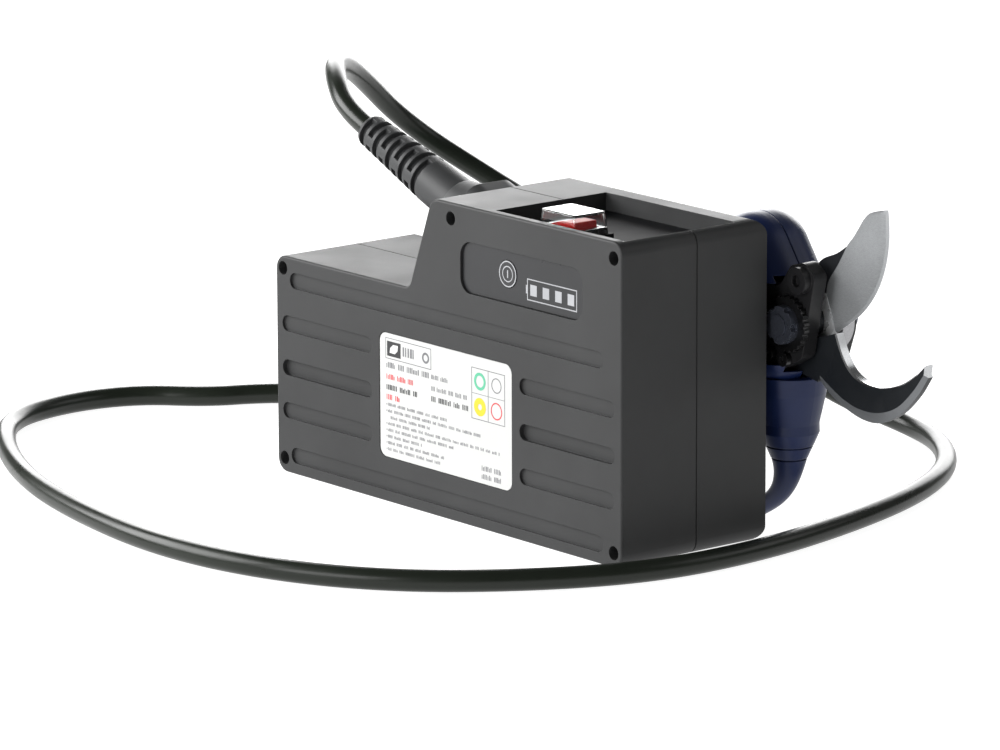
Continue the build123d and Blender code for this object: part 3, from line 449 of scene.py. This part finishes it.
def hook_blade():
    """Counter blade: a dark plate whose outer edge is ground to a lighter bevel."""
    mesh = bmesh.new()
    near, far = HOOK_Y
    outer = smooth([(117.5, 61.8), (123.7, 57.4), (132.3, 53.5), (142.1, 51.0), (151.8, 51.6), (162.5, 57.0),
                    (171.5, 65.4), (177.4, 73.5)])
    bevel = smooth([(118.6, 64.6), (124.0, 61.5), (131.6, 57.7), (141.0, 55.3), (151.7, 55.7), (161.9, 59.6),
                    (170.3, 67.0), (176.4, 74.6)])
    inner = smooth([(127.3, 82.2), (130.8, 74.7), (135.8, 68.8), (143.1, 65.9), (152.8, 65.5), (163.5, 68.6),
                    (171.8, 73.8), (177.0, 78.3)])
    count = 44
    rows = []
    for o, b, i in zip(evenly(outer, count), evenly(bevel, count), evenly(inner, count)):
        wall = i.lerp(b, 0.6 / max((i - b).length, 1.2))
        rows.append([(i[0], near + 0.5, i[1]), (wall[0], near, wall[1]), (b[0], near, b[1]),
                     (o[0], near + 1.6, o[1]), (o[0], far - 0.3, o[1]), (b[0], far, b[1]),
                     (wall[0], far, wall[1]), (i[0], far - 0.15, i[1])])
    skin(mesh, rows, [1, 0, 2, 0, 0, 0, 0, 3])
    prism(mesh, [(95.5, 66.0), (117.5, 61.8), (118.6, 64.6), (127.3, 82.2), (112.0, 77.5), (95.5, 76.5)],
          near, far)
    prism(mesh, circle(*HUB, 6.4), near - 0.05, far + 0.05)
    return finish_piece("counter_blade", mesh, ROOT,
                        [MATERIALS["hook_steel"], POLISHED, BEVELLED, POLISHED], ["hook_blade"], 24)


# ---------------------------------------------------------------- printing on the label and the display
INK = 0.05                        # prints reach this far out of their surface, and as far into it
LABEL_LOW, LABEL_HIGH = corner("label_plate")
LABEL_AT = (LABEL_LOW[0], LABEL_HIGH[2], LABEL_HIGH[0] - LABEL_LOW[0], LABEL_HIGH[2] - LABEL_LOW[2])
LABEL_INKS = ["black", "grey", "red", "green", "yellow", "white"]


def on_label(u, v):
    """Shares of the label's width from the left and of its height from the top."""
    x, z, width, height = LABEL_AT
    return x + u * width, z - v * height


def label_box(mesh, u0, u1, v0, v1, ink):
    (x0, z1), (x1, z0) = on_label(u0, v0), on_label(u1, v1)
    face = LABEL_LOW[1]
    prism(mesh, [(x0, z0), (x1, z0), (x1, z1), (x0, z1)], face - INK, face + INK, LABEL_INKS.index(ink))


def label_frame(mesh, u0, u1, v0, v1, ink, line=0.0035):
    rise = line * LABEL_AT[2] / LABEL_AT[3]
    label_box(mesh, u0, u1, v0, v0 + rise, ink)
    label_box(mesh, u0, u1, v1 - rise, v1, ink)
    label_box(mesh, u0, u0 + line, v0 + rise, v1 - rise, ink)
    label_box(mesh, u1 - line, u1, v0 + rise, v1 - rise, ink)


def label_row(mesh, dice, u0, u1, v, height, ink, dash, gap):
    """A row of short upright dashes in groups, as unreadable filler."""
    u = u0
    while u < u1 - dash:
        for _ in range(dice.randint(3, 8)):
            if u > u1 - dash:
                break
            low = v + height * dice.choice((0, 0, 0, 0.25))
            label_box(mesh, u, u + dash * dice.uniform(0.55, 1.0), low, v + height, ink)
            u += dash + gap
        u += 2.2 * dash


def ring(mesh, outer, inner, y0, y1, material):
    """Flat ring between two outlines of the same number of points."""
    count = len(outer)
    levels = [[mesh.verts.new((p[0], y, p[1])) for p in line]
              for line, y in ((outer, y0), (outer, y1), (inner, y1), (inner, y0))]
    for k in range(4):
        a, b = levels[k], levels[(k + 1) % 4]
        for i in range(count):
            j = (i + 1) % count
            mesh.faces.new((a[i], a[j], b[j], b[i])).material_index = material


def label_print():
    mesh = bmesh.new()
    dice = random.Random(7)
    face = LABEL_LOW[1]
    label_frame(mesh, 0.043, 0.394, 0.036, 0.205, "grey")
    label_box(mesh, 0.056, 0.160, 0.062, 0.182, "black")
    x, z = on_label(0.108, 0.122)
    leaf = [(x - 2.6, z - 1.6), (x - 2.2, z + 0.4), (x - 0.4, z + 1.8), (x + 2.6, z + 1.9),
            (x + 2.3, z - 0.3), (x + 0.6, z - 1.7)]
    prism(mesh, leaf, face - 0.08, face - 0.04, LABEL_INKS.index("white"))
    label_row(mesh, dice, 0.176, 0.305, 0.082, 0.075, "grey", 0.014, 0.005)
    x, z = on_label(0.352, 0.122)
    ring(mesh, circle(x, z, 2.2, 24), circle(x, z, 1.3, 24), face - INK, face + INK,
         LABEL_INKS.index("grey"))
    rows = [(0.05, 0.38, 0.232, 0.046, "grey", 0.0085), (0.395, 0.52, 0.240, 0.036, "grey", 0.006),
            (0.05, 0.27, 0.328, 0.042, "red", 0.0075), (0.395, 0.665, 0.333, 0.036, "grey", 0.006),
            (0.05, 0.295, 0.413, 0.042, "black", 0.0085), (0.395, 0.68, 0.413, 0.042, "black", 0.0085),
            (0.05, 0.152, 0.492, 0.042, "red", 0.0085)]
    for u0, u1, v, height, ink, dash in rows:
        label_row(mesh, dice, u0, u1, v, height, ink, dash, 0.0035)
    ends = [(0.06, 0.515), (0.06, 0.77), (0.08, 0.39), (0.06, 0.91), (0.06, 0.56), (0.06, 0.325), (0.06, 0.5),
            (0.06, 0.46)]
    for n, (u0, u1) in enumerate(ends):
        label_row(mesh, dice, u0, u1, 0.562 + 0.0516 * n, 0.024, "grey", 0.0058, 0.003)
        if n != 2:
            label_box(mesh, 0.048, 0.0525, 0.568 + 0.0516 * n, 0.580 + 0.0516 * n, "grey")
    label_row(mesh, dice, 0.775, 0.92, 0.856, 0.04, "grey", 0.0075, 0.0035)
    label_row(mesh, dice, 0.775, 0.92, 0.922, 0.04, "grey", 0.0075, 0.0035)
    label_frame(mesh, 0.70, 0.95, 0.09, 0.50, "grey")
    label_box(mesh, 0.8235, 0.8265, 0.096, 0.494, "grey")
    label_box(mesh, 0.7035, 0.9465, 0.293, 0.297, "grey")
    signs = [(0.763, 0.193, "green", 3.5, 2.3), (0.887, 0.193, "grey", 3.0, 2.6),
             (0.763, 0.396, "yellow", 3.6, 1.2), (0.887, 0.396, "red", 3.4, 2.9)]
    for u, v, ink, outside, inside in signs:
        x, z = on_label(u, v)
        ring(mesh, circle(x, z, outside, 32), circle(x, z, inside, 32), face - INK, face + INK,
             LABEL_INKS.index(ink))
    return finish_piece("label_print", mesh, ROOT, [INKS[name] for name in LABEL_INKS])


def display_print():
    """Level meter with four segments."""
    mesh = bmesh.new()
    face = corner("display_window")[0][1]
    y0, y1 = face - INK, face + INK
    x0, x1, z0, z1, line = 49.4, 78.8, 94.6, 103.0, 0.42
    for outline in ([(x0, z0), (x1, z0), (x1, z0 + line), (x0, z0 + line)],
                    [(x0, z1 - line), (x1, z1 - line), (x1, z1), (x0, z1)],
                    [(x0, z0 + line), (x0 + line, z0 + line), (x0 + line, z1 - line), (x0, z1 - line)],
                    [(x1 - line, z0 + line), (x1, z0 + line), (x1, z1 - line), (x1 - line, z1 - line)],
                    [(x0 - 0.7, 97.1), (x0, 97.1), (x0, 100.4), (x0 - 0.7, 100.4)]):
        prism(mesh, outline, y0, y1, 0)
    for i in range(4):
        x = 53.2 + 7.35 * i
        prism(mesh, [(x - 1.9, 96.6), (x + 1.9, 96.6), (x + 1.9, 100.9), (x - 1.9, 100.9)], y0, y1, 0)
    return finish_piece("display_print", mesh, ROOT, [INKS["silver"]])


def button_print():
    mesh = bmesh.new()
    low, high = corner("power_button")
    x, z, face = (low[0] + high[0]) / 2, (low[2] + high[2]) / 2, low[1]
    ring(mesh, circle(x, z, 5.1, 48), circle(x, z, 4.65, 48), face - INK, face + INK, 0)
    ring(mesh, circle(x, z, 3.15, 40), circle(x, z, 2.75, 40), face - INK, face + INK, 0)
    prism(mesh, [(x - 0.3, z - 1.5), (x + 0.3, z - 1.5), (x + 0.3, z + 1.5), (x - 0.3, z + 1.5)],
          face - INK, face + INK, 0)
    return finish_piece("button_print", mesh, "button", [INKS["silver"]])


moving_blade()
hook_blade()
label_print()
display_print()
button_print()

# ---------------------------------------------------------------- floor and light
AIM = Vector((0.0, 0.02, 0.06))


def floor():
    mesh = bpy.data.meshes.new("floor")
    mesh.from_pydata([(-7, -7, 0), (7, -7, 0), (7, 7, 0), (-7, 7, 0)], [], [(0, 1, 2, 3)])
    piece = bpy.data.objects.new("floor", mesh)
    bpy.context.scene.collection.objects.link(piece)
    material, nodes, links, shader = blank("studio_white")
    shader.inputs["Base Color"].default_value = (0.4, 0.4, 0.4, 1)
    shader.inputs["Roughness"].default_value = 0.7
    shader.inputs["Specular IOR Level"].default_value = 0.1
    shader.inputs["Emission Color"].default_value = (1, 1, 1, 1)
    shader.inputs["Emission Strength"].default_value = 0.92
    mesh.materials.append(material)


def softbox(name, place, size, radiance, aim=AIM):
    """Area light of an even brightness, turned to the object."""
    data = bpy.data.lights.new(name, "AREA")
    data.shape = "RECTANGLE"
    data.size, data.size_y = size
    data.energy = radiance * pi * size[0] * size[1]
    lamp = bpy.data.objects.new(name, data)
    lamp.location = place
    lamp.rotation_euler = (aim - Vector(place)).to_track_quat("-Z", "Y").to_euler()
    bpy.context.scene.collection.objects.link(lamp)


def sky(strength):
    world = bpy.data.worlds.new("studio")
    world.use_nodes = True
    world.node_tree.nodes["Background"].inputs["Color"].default_value = (1, 1, 1, 1)
    world.node_tree.nodes["Background"].inputs["Strength"].default_value = strength
    bpy.context.scene.world = world


floor()
softbox("front_box", (-0.85, -0.75, 0.62), (1.1, 0.7), 10.0)
softbox("right_box", (0.25, -2.5, 0.9), (1.6, 1.2), 6.0)
softbox("rim_box", (1.05, 1.3, 1.1), (1.2, 0.8), 1.4)
softbox("back_box", (-1.85, 1.95, 0.85), (2.6, 1.4), 6.0)
sky(0.10)
bpy.context.scene.view_settings.view_transform = "Standard"

bpy.context.view_layer.update()
